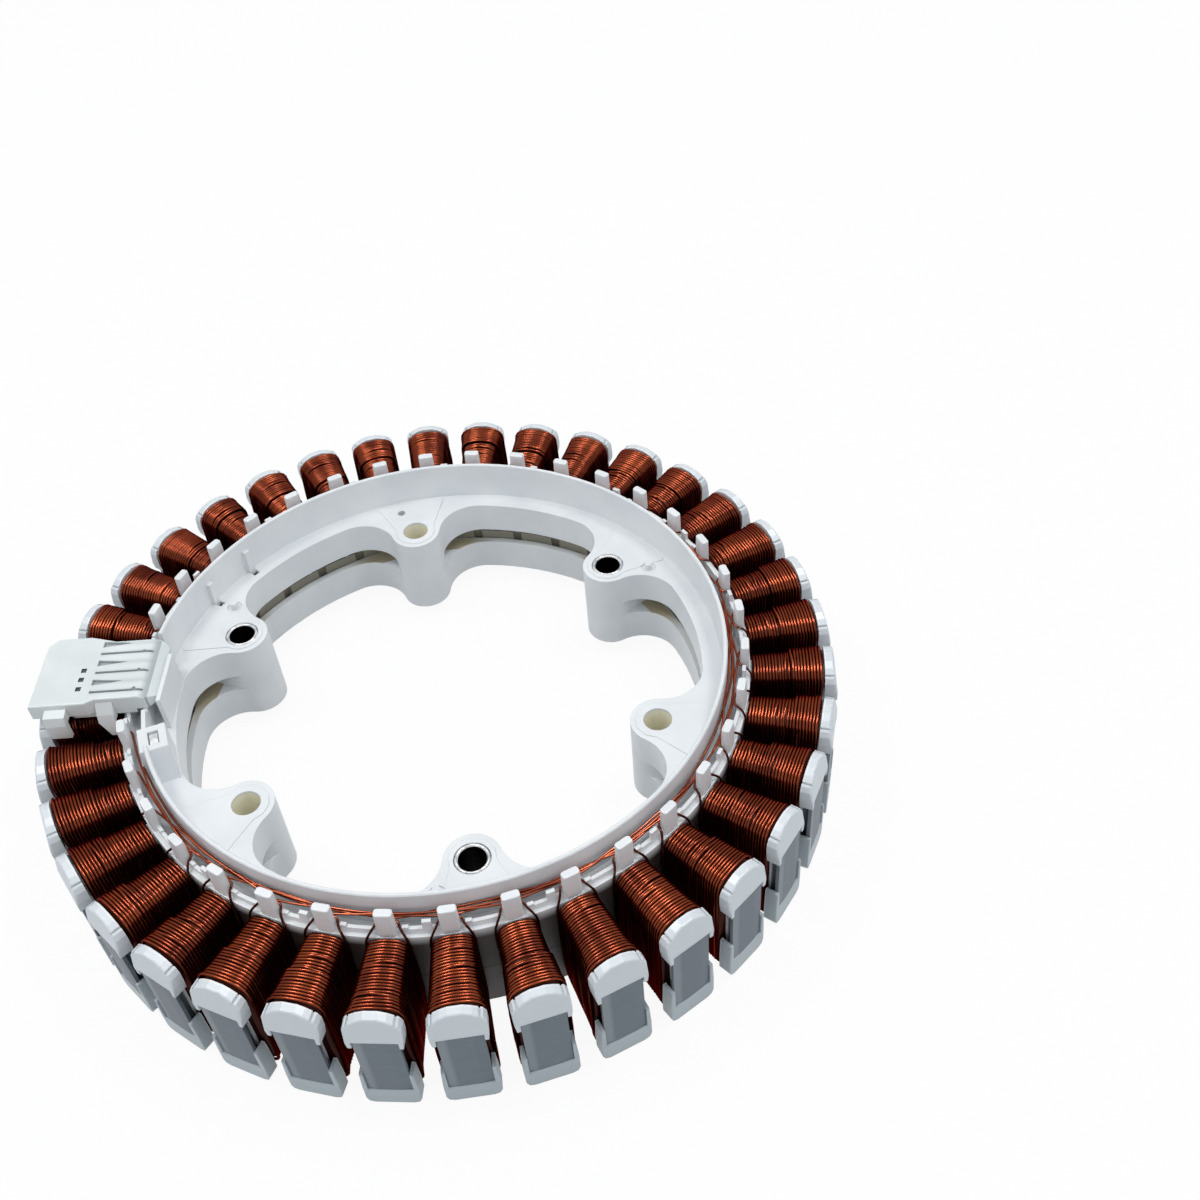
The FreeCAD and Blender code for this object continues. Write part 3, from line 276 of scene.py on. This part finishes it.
def enamelledCopper(name, dark, light, rough, shadedWhere=None):
    # the last argument says where the wire is painted dark as shade, with faint lighter threads: at the
    # coils' sides and under the housing, or out along a lead
    paint = Paint(name)
    streak = paint.noise(90, 2)
    fine = paint.noise(600, 1)
    colour = paint.blend(streak.between(0.3, 0.7), dark, light)
    clear = 1.0
    if shadedWhere == "sides":
        along, across = alongAndAcross(paint)
        under = across.above(copper["coverFar"]) * (1 - across.above(copper["coverNear"])) * along.above(0.0)
        clear = paint.axis("Z").between(copper["sideFoot"], copper["sideTop"]) * (1 - under)
    elif shadedWhere == "leads":
        clear = 1 - paint.radius().between(copper["leadFrom"], copper["leadTo"])
    # painted shade: the wire darkened, with faint lighter threads, where the mask says
    if shadedWhere:
        threads = paint.noise(1.0, 1, paint.stretched((900, 900, 25)))
        paintedShade = paint.blend(threads.between(0.60, 0.72), copper["shadedWire"], copper["shadedThread"])
        colour = paint.blend(clear, paintedShade, colour)
    return paint.finish({
        "Base Color": colour, "Metallic": 1.0, "Specular Tint": copper["edge"],
        "Coat Weight": copper["coat"] * clear, "Coat Roughness": copper["coatRough"],
        "Roughness": rough + 0.2 * (1 - clear) + (streak - 0.5) * 0.1, "Normal": paint.bump(fine, 0.02, 0.03),
    })


steel = {
    "face": (0.122, 0.150, 0.178), "faceLight": (0.150, 0.182, 0.212), "rubbed": (0.25, 0.29, 0.32),
    "corner": (0.34, 0.38, 0.41), "gap": (0.010, 0.011, 0.012), "bright": (0.30, 0.31, 0.31),
    # painted shade: the beige inside the ring in the gap, shade lit warm by the coils
    "warmShade": (0.24, 0.225, 0.175), "warmShadeTop": 21.2, "faceFrom": 118.0, "teeth": 36.0, "beat": 1.2,
    "metal": 0.1, "faceMetal": 0.55, "rough": 0.42,
}


def laminatedSteel():
    # thin sheets one on another; the faces of the teeth are rubbed, and the inside of the ring is dull, near
    # black with light streaks, and painted beige higher up as shade lit warm by the coils
    s = steel
    paint = Paint("laminatedSteel")
    sheets = paint.noise(1.0, 2, paint.stretched((60, 60, 2600)))
    broad = paint.noise(1.0, 2, paint.stretched((160, 160, 120)))
    rub = paint.noise(1.0, 1, paint.stretched((500, 500, 1300)))
    onFace = paint.radius().above(s["faceFrom"])
    around = paint.angle() * s["teeth"]
    face = paint.blend(sheets.between(0.3, 0.7), s["face"], s["faceLight"])
    face = paint.blend(rub.between(0.60, 0.75) * broad.between(0.45, 0.7) * 0.45, face, s["rubbed"])
    side = paint.maths("SINE", around)
    face = paint.blend(side.between(0.80, 0.97) * 0.35, face, s["corner"])
    beat = paint.maths("COSINE", around + s["beat"])
    streak = beat.between(0.93, 0.99) * sheets.between(0.35, 0.6)
    inside = paint.blend(streak, s["gap"], s["bright"])
    # painted shade: the inside of the ring beige above a height, shade lit warm by the coils
    inside = paint.blend(paint.axis("Z").above(s["warmShadeTop"]), s["warmShade"], inside)
    return paint.finish({
        "Base Color": paint.blend(onFace, inside, face), "Metallic": onFace * s["faceMetal"] + s["metal"],
        "Roughness": s["rough"] + sheets * 0.15, "Normal": paint.bump(sheets, 0.25, 0.08),
    })


# two shades and the roughness of each small piece
small = {
    # painted shade: the colour of the bushes' bore walls
    "bush": ((0.42, 0.43, 0.44), (0.72, 0.73, 0.75), 0.28), "bushBoreShade": (0.020, 0.016, 0.014),
    "tin": ((0.42, 0.43, 0.44), (0.72, 0.73, 0.74), 0.25),
    "board": ((0.03, 0.10, 0.06), (0.05, 0.15, 0.09), 0.45),
    "sensor": ((0.012, 0.012, 0.013), (0.03, 0.03, 0.032), 0.5),
}


def brushedMetal(name, dark, light, rough, bore=None):
    # bore is a painted shade for the walls, where the top faces stay bright
    paint = Paint(name)
    rubbed = paint.noise(1.0, 3, paint.stretched((500, 500, 2500)))
    colour = paint.blend(rubbed.between(0.3, 0.7), dark, light)
    if bore:
        facing = paint.node("ShaderNodeTexCoord", {}, {}, "Normal")
        upward = paint.node("ShaderNodeSeparateXYZ", {}, {0: facing}, "Z")
        # painted shade: the walls that don't face up take the darker colour bore
        colour = paint.blend(upward.between(0.2, 0.5), bore, colour)
    normal = paint.bump(rubbed, 0.2, 0.05, paint.rounded(0.15))
    return paint.finish({
        "Base Color": colour, "Metallic": 0.95, "Roughness": rough + (rubbed - 0.5) * 0.2, "Normal": normal,
    })


def plainFinish(name, dark, light, rough):
    paint = Paint(name)
    cloud = paint.noise(700, 3)
    colour = paint.blend(cloud.between(0.3, 0.7), dark, light)
    rough = rough + (cloud - 0.5) * 0.2
    return paint.finish({"Base Color": colour, "Roughness": rough, "Normal": paint.bump(cloud, 0.2, 0.05)})


white, shade = plastic["white"], plastic["shade"]
# painted shade: the two insulators differ only in how dark their teeth's ends are painted
whitePlastic = mouldedPlastic("whitePlastic", white, shade, shadedTeeth, plastic["cap"])
lowerPlastic = mouldedPlastic("lowerPlastic", white, shade, shadedTeeth, plastic["foot"])
housing, housingShade = plastic["housing"], plastic["housingShade"]
housingPlastic = mouldedPlastic("housingPlastic", housing, housingShade, shadedRecesses, recess["grooveShade"])
coilCopper = enamelledCopper("coilCopper", copper["dark"], copper["light"], copper["rough"], "sides")
# painted shade: the under layer is dark copper for the shade in the gaps between turns
shadedDeepCopper = enamelledCopper("shadedDeepCopper", copper["deepDark"], copper["deepLight"], copper["deepRough"])
jumperShades = (copper["jumperDark"], copper["jumperLight"])
jumperCopper = enamelledCopper("jumperCopper", *jumperShades, copper["jumperRough"], "leads")
coreSteel = laminatedSteel()
bushSteel = brushedMetal("bushSteel", *small["bush"], small["bushBoreShade"])
tinPlate = brushedMetal("tinPlate", *small["tin"])
boardGreen = plainFinish("boardGreen", *small["board"])
sensorBlack = plainFinish("sensorBlack", *small["sensor"])

repaint(whitePlastic, "upper_insulator")
repaint(lowerPlastic, "lower_insulator")
repaint(housingPlastic, "connector_housing")
repaint(coreSteel, "laminated_core")
repaint(bushSteel, "mounting_bushes")
repaint(boardGreen, "sensor_board")
repaint(sensorBlack, "position_sensors")
repaint(tinPlate, "power_terminals", "star_point_splice")
print("materials done")


# Coils: one continuous wire wound round each tooth over an under layer painted dark as the shade between the
# turns
winding = {
    "turns": 22, "start": 104.75, "pitch": 1.063, "wire": 0.50,
    "innerHalf": 5.85, "outerHalf": 7.45, "innerTop": 41.70, "outerTop": 43.45,
    "innerFoot": 2.70, "outerFoot": 1.30, "corner": 3.6, "crown": 0.35, "flank": 7,
    "sideBow": 0.35, "shuffle": 0.06, "lift": 0.16, "layerStep": 0.42, "stepTurns": (None, 8, 10, 12, 14),
    "crossings": 2, "crossingLift": 0.55, "looseTurns": 3, "looseness": 0.9, "seed": 41,
    "under": 0.45, "overrun": 0.3,
    "bobbinHalf": 4.78, "bobbinTop": 40.7, "bobbinFoot": 3.7, "bobbinCorner": 2.2,
}


def grown(size, share):
    # a size of the winding at a share of the way from the tooth's inner end to its outer end
    inner = winding["inner" + size]
    return inner + (winding["outer" + size] - inner) * share


def turnOutline(half, top, foot, corner, crown, bow):
    # one turn of wire centre line, from the middle of the foot up the near side, over the top and down again
    flat = half - corner
    middle = (top + foot) / 2
    rise = [radians(angle) for angle in (0, 25, 50, 72, 90)]
    near = [(flat + corner * sin(a), foot + corner * (1 - cos(a))) for a in rise]
    near += [(half + bow, middle + reach) for reach in (-winding["flank"], winding["flank"])]
    near += [(flat + corner * sin(a), top - corner * (1 - cos(a))) for a in reversed(rise)]
    near.append((flat * 0.5, top + crown * 0.75))
    far = [(-t, z) for t, z in reversed(near)]
    return [(0, foot), *near, (0, top + crown), *far]


def wireMesh(name, paths, radius, kind):
    # a round wire along each list of points; POLY follows them and NURBS runs smoothly past them
    line = bpy.data.curves.new(name, "CURVE")
    line.dimensions = "3D"
    line.resolution_u = 6
    line.bevel_depth = radius * mm
    line.bevel_resolution = 1
    line.use_fill_caps = True
    for path in paths:
        spline = line.splines.new(kind)
        spline.points.add(len(path) - 1)
        for point, place in zip(spline.points, path):
            point.co = (*place, 1.0)
        if kind == "NURBS":
            spline.order_u = 3
            spline.use_endpoint_u = True
    holder = bpy.data.objects.new(name, line)
    mesh = bpy.data.meshes.new_from_object(holder)
    bpy.data.objects.remove(holder)
    bpy.data.curves.remove(line)
    return mesh


def windingPath(chance, degrees):
    # turn after turn outwards, with a step where a layer ends, two crossings and a few loose last turns
    w = winding
    stepTurn = chance.choice(w["stepTurns"])
    strays = {chance.randrange(3, w["turns"] - 4): chance.choice((-1, 1)) for _ in range(w["crossings"])}
    path = []
    for turn in range(w["turns"]):
        share = turn / (w["turns"] - 1)
        layer = 0 if stepTurn is None else (w["layerStep"] if turn >= stepTurn else -w["layerStep"])
        last = max(0, turn - w["turns"] + 1 + w["looseTurns"]) / w["looseTurns"]
        spread = layer + last * chance.uniform(0, w["looseness"])
        half = grown("Half", share) + spread * 0.6
        top = grown("Top", share) + layer + chance.uniform(0, w["lift"])
        foot = grown("Foot", share) - layer * 0.6
        bow = w["sideBow"] * chance.uniform(0.2, 1.4)
        outline = turnOutline(half, top, foot, w["corner"] + share, w["crown"], bow)
        slide = [chance.uniform(-1, 1) * w["shuffle"] for _ in range(3)]
        stray = strays.get(turn, 0)
        for index, (t, z) in enumerate(outline):
            along = index / len(outline)
            aim = slide[0] + (slide[1] - slide[0]) * min(1, along * 2) + slide[2] * sin(along * pi)
            over = max(0, 1 - abs(along - 0.5) * 5)
            shift = stray * (along - 0.5) * 5 * w["pitch"] * over
            r = w["start"] + w["pitch"] * (turn + along) * (w["turns"] - 1) / w["turns"] + aim + shift
            up = z + (w["crossingLift"] * over if stray else 0)
            path.append(onTooth(degrees, r, t, up))
    return path


def underLayer(degrees):
    # the layers under the visible one, as a closed sleeve round the bobbin
    w = winding
    under = w["under"]
    build = bmesh.new()
    loops = []
    last = w["start"] + (w["turns"] - 1) * w["pitch"]
    ends = ((w["start"] - w["overrun"], 0), (last + w["overrun"], 1))
    for r, share in ends:
        half = grown("Half", share) - under
        top = grown("Top", share) - under
        foot = grown("Foot", share) + under
        corner = w["corner"] + share - under
        outline = turnOutline(half, top, foot, corner, w["crown"] * 0.6, w["sideBow"] * 0.3)
        loops.append([build.verts.new(onTooth(degrees, r, t, z)) for t, z in outline])
    bobbin = turnOutline(w["bobbinHalf"], w["bobbinTop"], w["bobbinFoot"], w["bobbinCorner"], 0, 0)
    for r, share in reversed(ends):
        loops.append([build.verts.new(onTooth(degrees, r, t, z)) for t, z in bobbin])
    rims = []
    for loop in loops:
        rims.append([build.edges.new(pair) for pair in zip(loop, loop[1:] + loop[:1])])
    for first, second in zip(rims, rims[1:] + rims[:1]):
        bmesh.ops.bridge_loops(build, edges=first + second)
    bmesh.ops.recalc_face_normals(build, faces=build.faces)
    mesh = bpy.data.meshes.new("underLayer")
    build.to_mesh(mesh)
    build.free()
    return mesh


def joined(name, parts):
    # several meshes, each with its own material, as one smooth piece at the origin
    build = bmesh.new()
    for index, (mesh, _) in enumerate(parts):
        known = len(build.faces)
        build.from_mesh(mesh)
        build.faces.ensure_lookup_table()
        for face in build.faces[known:]:
            face.material_index = index
            face.smooth = True
        bpy.data.meshes.remove(mesh)
    whole = bpy.data.meshes.new(name)
    build.to_mesh(whole)
    build.free()
    for _, material in parts:
        whole.materials.append(material)
    piece = bpy.data.objects.new(name, whole)
    bpy.context.scene.collection.objects.link(piece)
    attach(piece, "root")
    return piece


for tooth in range(ring["teeth"]):
    degrees = ring["firstTooth"] + ring["step"] * tooth
    chance = random.Random(winding["seed"] + tooth)
    wire = wireMesh("wire", [windingPath(chance, degrees)], winding["wire"], "POLY")
    piece = joined(f"coilWinding{tooth + 1:02d}", [(wire, coilCopper), (underLayer(degrees), shadedDeepCopper)])
    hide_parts(f"coil_{tooth + 1:02d}")
print("coils done")


# Jumpers: each coil's finish runs in the channel to the coil three teeth on
jumpers = {
    "wire": 0.38, "firstCoil": 19, "hops": 11, "teethApart": 3, "lastPost": 515, "beyond": 4, "seed": 5,
    "low": 43.2, "high": 46.4, "wall": 97.1, "postRadius": 99.8, "postLevel": 44.3,
    "lean": 2.2, "slope": 1.4, "shake": 0.25, "places": (0.14, 0.26, 0.40, 0.5, 0.6, 0.74, 0.86),
    "lead": [
        (105.0, 6.2, 31.0), (104.95, 6.35, 37.5), (104.7, 6.1, 40.4), (104.0, 5.2, 42.4), (102.9, 4.1, 43.6),
        (101.6, 3.55, 44.0), (100.5, 3.0, 44.0), (100.0, 1.2, 44.2),
    ],
}


def jumperPath(chance, begin, end):
    # up from the first coil's flank, round behind its post, along the wall and round the last coil's post;
    # where the last coil has no post, the wire ends in the channel
    j = jumpers
    level = chance.uniform(j["low"], j["high"])
    lean = j["wall"] + chance.uniform(0, j["lean"])
    slope = chance.uniform(-j["slope"], j["slope"])
    path = [onTooth(begin, r, -t, z) for r, t, z in j["lead"]]
    hasPost = end <= j["lastPost"]
    end = min(end, j["lastPost"] + j["beyond"])
    for share in j["places"]:
        degrees = begin + (end - begin) * share
        bay = min(1, 1.3 * sin(share * pi))
        r = j["postRadius"] + (lean - j["postRadius"]) * bay + chance.uniform(-j["shake"], j["shake"])
        z = j["postLevel"] + (level - j["postLevel"]) * bay
        z += slope * (share - 0.5) + chance.uniform(-j["shake"], j["shake"])
        path.append(onRing(degrees, max(j["wall"], r), max(j["low"], min(j["high"], z))))
    if hasPost:
        path += [onTooth(end, r, t, z) for r, t, z in reversed(j["lead"])]
    return path


chance = random.Random(jumpers["seed"])
for phase, node in enumerate(("phase_wire_u", "phase_wire_v", "phase_wire_w")):
    runs = []
    for hop in range(jumpers["hops"]):
        tooth = jumpers["firstCoil"] - 1 + phase + hop * jumpers["teethApart"]
        begin = ring["firstTooth"] + ring["step"] * tooth
        runs.append(jumperPath(chance, begin, begin + ring["step"] * jumpers["teethApart"]))
    wires = wireMesh("runs", runs, jumpers["wire"], "NURBS")
    piece = joined(f"jumperWires{phase + 1}", [(wires, jumperCopper)])
    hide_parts(node)


star = {
    "begin": 192, "step": 11.6, "points": 29, "firstRadius": 98.6, "firstLevel": 42.5,
    "radius": 98.4, "inward": 1.1, "outward": 1.2, "level": 44.4, "upAndDown": 1.2,
}


def starWirePath(chance):
    # laid along the wall nearly all the way round, a little up and down
    path = [onRing(star["begin"], star["firstRadius"], star["firstLevel"])]
    for index in range(1, star["points"]):
        r = star["radius"] + chance.uniform(-star["inward"], star["outward"])
        z = star["level"] + chance.uniform(-star["upAndDown"], star["upAndDown"])
        path.append(onRing(star["begin"] + index * star["step"], r, z))
    return path


wire = wireMesh("star", [starWirePath(chance)], jumpers["wire"], "NURBS")
piece = joined("starWire", [(wire, jumperCopper)])
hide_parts("star_point_wire")
print("jumpers done")


# Floor, light and camera
studio = {
    "floorSize": 6.0, "floorAt": -0.0002, "floorColour": (0.60, 0.61, 0.62),
    "floorCloud": (0.56, 0.565, 0.57), "seenColour": (0.90, 0.905, 0.91), "whiteShare": 0.93,
    "white": (1, 1, 1, 1),
    "sky": 0.78, "skyColour": (0.94, 0.97, 1.0, 1), "lampPower": 1.9, "glintPower": 12.0, "lampSize": 0.22,
    "lamps": {"left": (-0.38, 0.15, 1.05), "right": (0.42, 0.02, 1.05)},
}


def seenDirectly(paint):
    # 1 for what the camera sees, straight or in a shiny or clear thing, and 0 for the light on the part
    path = paint.node("ShaderNodeLightPath", {}, {}, "Is Camera Ray")
    glossy = paint.node("ShaderNodeLightPath", {}, {}, "Is Glossy Ray")
    clear = paint.node("ShaderNodeLightPath", {}, {}, "Is Transmission Ray")
    return (path + glossy + clear).between(0.0, 1.0)


def paleFloor():
    paint = Paint("paleFloor")
    cloud = paint.noise(3, 2)
    direct = seenDirectly(paint)
    colour = paint.blend(cloud * 0.3, studio["floorColour"], studio["floorCloud"])
    colour = paint.blend(direct, colour, studio["seenColour"])
    matt = paint.node("ShaderNodeBsdfDiffuse", {}, {"Color": colour})
    white = paint.node("ShaderNodeEmission", {}, {"Color": studio["white"], "Strength": 1.0})
    paint.output(paint.node("ShaderNodeMixShader", {}, {0: direct * studio["whiteShare"], 1: matt, 2: white}))
    return paint.material


def paintSky(world):
    # a soft sky for the light on the part, and plain white where it is seen
    paint = Paint("sky", world)
    dim = paint.node("ShaderNodeBackground", {}, {"Color": studio["skyColour"], "Strength": studio["sky"]})
    bright = paint.node("ShaderNodeBackground", {}, {"Color": studio["white"], "Strength": 1.0})
    mixed = paint.node("ShaderNodeMixShader", {}, {0: seenDirectly(paint), 1: dim, 2: bright})
    paint.output(mixed, "ShaderNodeOutputWorld")


build = bmesh.new()
bmesh.ops.create_grid(build, x_segments=1, y_segments=1, size=studio["floorSize"] / 2)
bmesh.ops.translate(build, verts=build.verts, vec=(0, 0, studio["floorAt"]))
floorMesh = bpy.data.meshes.new("floor")
build.to_mesh(floorMesh)
build.free()
floorMesh.materials.append(paleFloor())
floor = bpy.data.objects.new("floor", floorMesh)
bpy.context.scene.collection.objects.link(floor)

bpy.context.scene.world = bpy.data.worlds.new("studio")
paintSky(bpy.context.scene.world)


def softLamp(name, place, power, glint=False):
    # a glint lamp shows in shiny things only, for the bands of light along the copper
    light = bpy.data.lights.new(name, "AREA")
    light.energy = power
    light.size = studio["lampSize"]
    lamp = bpy.data.objects.new(name, light)
    lamp.location = place
    lamp.rotation_euler = (-Vector(place)).to_track_quat("-Z", "Y").to_euler()
    lamp.visible_diffuse = not glint
    bpy.context.scene.collection.objects.link(lamp)


for side, place in studio["lamps"].items():
    softLamp(side + "Lamp", place, studio["lampPower"])
    softLamp(side + "Glint", place, studio["glintPower"], True)

view = {
    "place": (8.67, -312.17, 363.63), "right": (0.97614, -0.20864, -0.06022),
    "up": (0.18807, 0.67360, 0.71478), "forward": (0.10857, 0.70904, -0.69676), "lens": 39.81, "sensor": 36,
}

lens = bpy.data.cameras.new("camera")
lens.lens = view["lens"]
lens.sensor_width = view["sensor"]
camera = bpy.data.objects.new("camera", lens)
right, up, back = Vector(view["right"]), Vector(view["up"]), -Vector(view["forward"])
turn = Matrix((right, up, back)).transposed().to_4x4()
camera.matrix_world = Matrix.Translation(Vector(view["place"]) * mm) @ turn
bpy.context.scene.collection.objects.link(camera)
bpy.context.scene.camera = camera
bpy.context.scene.view_settings.view_transform = "Standard"
print("floor, light and camera done")
